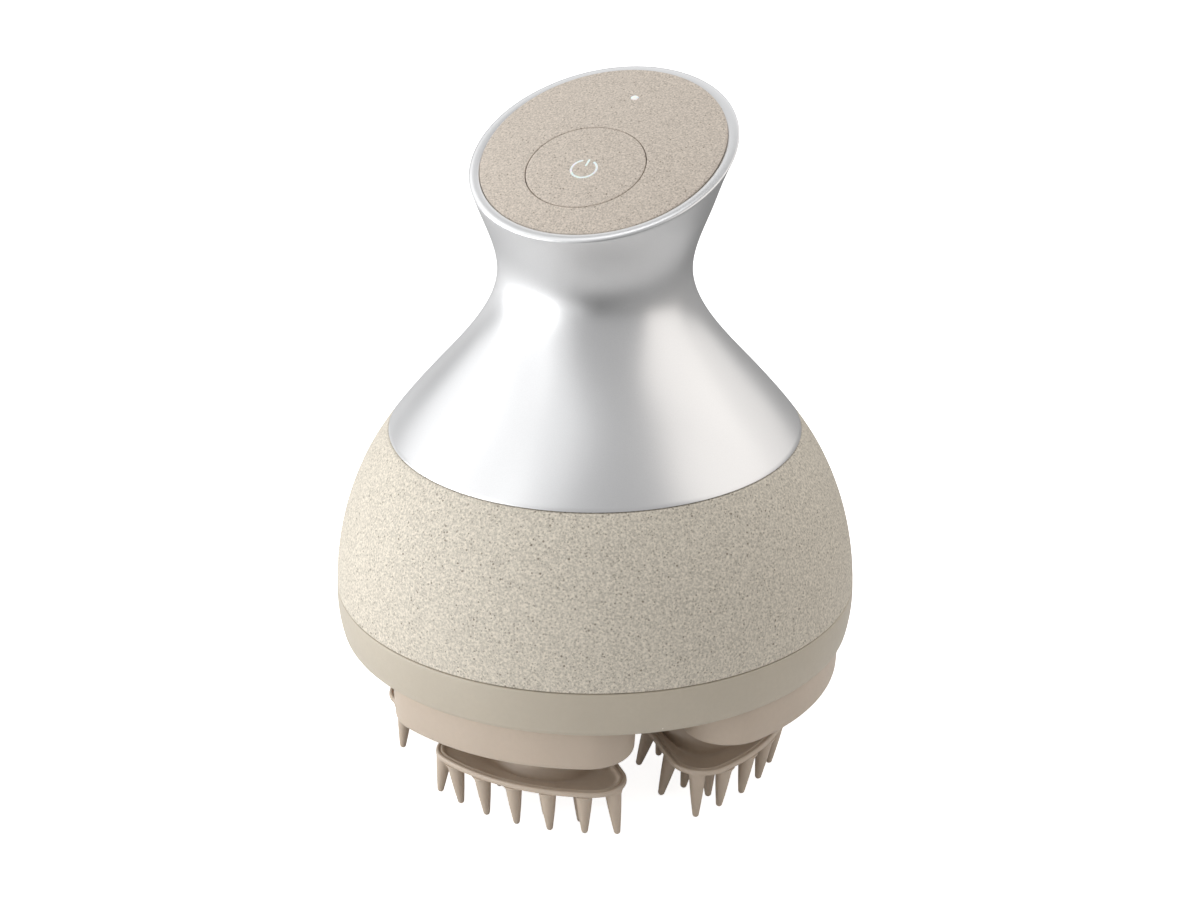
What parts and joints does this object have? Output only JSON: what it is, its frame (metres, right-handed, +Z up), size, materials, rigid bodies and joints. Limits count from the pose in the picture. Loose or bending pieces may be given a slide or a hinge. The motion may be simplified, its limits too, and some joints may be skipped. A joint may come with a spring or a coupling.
{
  "type": "scalp massager brush",
  "caption": "Palm-size bell-shaped scalp massager with a slanted oval top, a press button and orbiting toothed silicone heads driven by a gear train.",
  "frame": {"origin": "on the body's vertical axis, in the plane of the tooth tips", "axes": "+Z up, along the body axis from the teeth to the grip; -Y is the front, below the low side of the slanted top"},
  "size_m": [0.098, 0.098, 0.1271],
  "materials": {
    "satin_silver": "satin fine-grained anodised look",
    "speckled_shell": "matte sand-coloured paint with fine dark specks",
    "speckled_panel": "matte sand-coloured paint with finer specks",
    "skirt_silicone": "smooth matte silicone",
    "claw_silicone": "smooth matte silicone, slightly pinker",
    "frame_plastic": "moulded, fine spark texture",
    "white_plastic": "moulded, fine spark texture",
    "gear_plastic": "natural acetal, slight sheen",
    "black_rubber": "matte",
    "black_plastic": "moulded",
    "light_window": "milky light window",
    "board_green": "glass-epoxy circuit board with solder mask",
    "flex_amber": "polyimide film",
    "cell_wrap": "shrink wrap sleeve on a steel can",
    "steel": "turned and ground",
    "brass": "turned",
    "gold_contact": "gold flash",
    "lead_red": "extruded insulation"
  },
  "bodies": {
    "housing": {"neck_shell": "satin_silver", "belly_shell": "speckled_shell", "skirt_cover": "skirt_silicone", "base_plate": "frame_plastic", "gearbox_cover": "frame_plastic", "body_o_ring": "black_rubber", "top_panel": "speckled_panel", "tact_switch": "steel", "button_board": "board_green", "board_screws": "steel", "status_lens": "light_window", "status_led": "light_window", "flex_cable": "flex_amber", "core_frame": "white_plastic", "frame_screws": "steel", "battery_cell": "cell_wrap", "main_board": "board_green", "motor": "steel", "motor_leads": "lead_red", "idler_axle": "steel", "crank_bushings": "brass", "case_screws": "steel", "cover_screws": "steel", "charge_socket": "black_plastic", "charge_contacts": "gold_contact", "charge_magnets": "steel", "boot_front": "claw_silicone", "boot_right": "claw_silicone", "boot_back": "claw_silicone", "boot_left": "claw_silicone"},
    "button": {"power_button": "speckled_panel", "switch_plunger": "black_plastic"},
    "idler": {"idler_gear": "gear_plastic"},
    "pinion": {"motor_pinion": "brass"},
    "crank_front": {"crank_gear_front": "gear_plastic", "crank_pin_front": "steel", "pin_clip_front": "steel"},
    "head_front": {"carrier_front": "frame_plastic", "claw_front": "claw_silicone", "seal_disc_front": "claw_silicone"},
    "crank_right": {"crank_gear_right": "gear_plastic", "crank_pin_right": "steel", "pin_clip_right": "steel"},
    "head_right": {"carrier_right": "frame_plastic", "claw_right": "claw_silicone", "seal_disc_right": "claw_silicone"},
    "crank_back": {"crank_gear_back": "gear_plastic", "crank_pin_back": "steel", "pin_clip_back": "steel"},
    "head_back": {"carrier_back": "frame_plastic", "claw_back": "claw_silicone", "seal_disc_back": "claw_silicone"},
    "crank_left": {"crank_gear_left": "gear_plastic", "crank_pin_left": "steel", "pin_clip_left": "steel"},
    "head_left": {"carrier_left": "frame_plastic", "claw_left": "claw_silicone", "seal_disc_left": "claw_silicone"}
  },
  "joints": [
    {"name": "crank_front_turn", "type": "hinge", "parent": "housing", "child": "crank_front", "pos_m": [0, -0.02404, 0.033], "axis": [0, 0, 1], "continuous": true},
    {"name": "crank_right_turn", "type": "hinge", "parent": "housing", "child": "crank_right", "pos_m": [0.02404, 0, 0.033], "axis": [0, 0, 1], "continuous": true},
    {"name": "crank_back_turn", "type": "hinge", "parent": "housing", "child": "crank_back", "pos_m": [0, 0.02404, 0.033], "axis": [0, 0, 1], "continuous": true},
    {"name": "crank_left_turn", "type": "hinge", "parent": "housing", "child": "crank_left", "pos_m": [-0.02404, 0, 0.033], "axis": [0, 0, 1], "continuous": true},
    {"name": "head_front_pivot", "type": "hinge", "parent": "crank_front", "child": "head_front", "pos_m": [0.00207, -0.02578, 0.021], "axis": [0, 0, 1], "continuous": true},
    {"name": "head_right_pivot", "type": "hinge", "parent": "crank_right", "child": "head_right", "pos_m": [0.02357, -0.00266, 0.021], "axis": [0, 0, 1], "continuous": true},
    {"name": "head_back_pivot", "type": "hinge", "parent": "crank_back", "child": "head_back", "pos_m": [-0.00207, 0.02578, 0.021], "axis": [0, 0, 1], "continuous": true},
    {"name": "head_left_pivot", "type": "hinge", "parent": "crank_left", "child": "head_left", "pos_m": [-0.02357, -0.00266, 0.021], "axis": [0, 0, 1], "continuous": true},
    {"name": "idler_turn", "type": "hinge", "parent": "housing", "child": "idler", "pos_m": [0.00309, -0.00206, 0.04], "axis": [0, 0, 1], "continuous": true},
    {"name": "motor_turn", "type": "hinge", "parent": "housing", "child": "pinion", "pos_m": [-0.00367, 0.01244, 0.042], "axis": [0, 0, 1], "continuous": true},
    {"name": "button_press", "type": "slide", "parent": "housing", "child": "button", "axis": [0, 0.3057, -0.9521], "range_m": [0, 0.0004], "stiffness_N_per_m": 400}
  ],
  "couplings": [
    {"joint": "crank_right_turn", "follows": "crank_front_turn", "ratio": -1},
    {"joint": "crank_back_turn", "follows": "crank_front_turn", "ratio": 1},
    {"joint": "crank_left_turn", "follows": "crank_front_turn", "ratio": -1},
    {"joint": "head_front_pivot", "follows": "crank_front_turn", "ratio": -1},
    {"joint": "head_right_pivot", "follows": "crank_front_turn", "ratio": 1},
    {"joint": "head_back_pivot", "follows": "crank_front_turn", "ratio": -1},
    {"joint": "head_left_pivot", "follows": "crank_front_turn", "ratio": 1},
    {"joint": "idler_turn", "follows": "crank_front_turn", "ratio": -4.2857},
    {"joint": "motor_turn", "follows": "crank_front_turn", "ratio": 15.306}
  ]
}
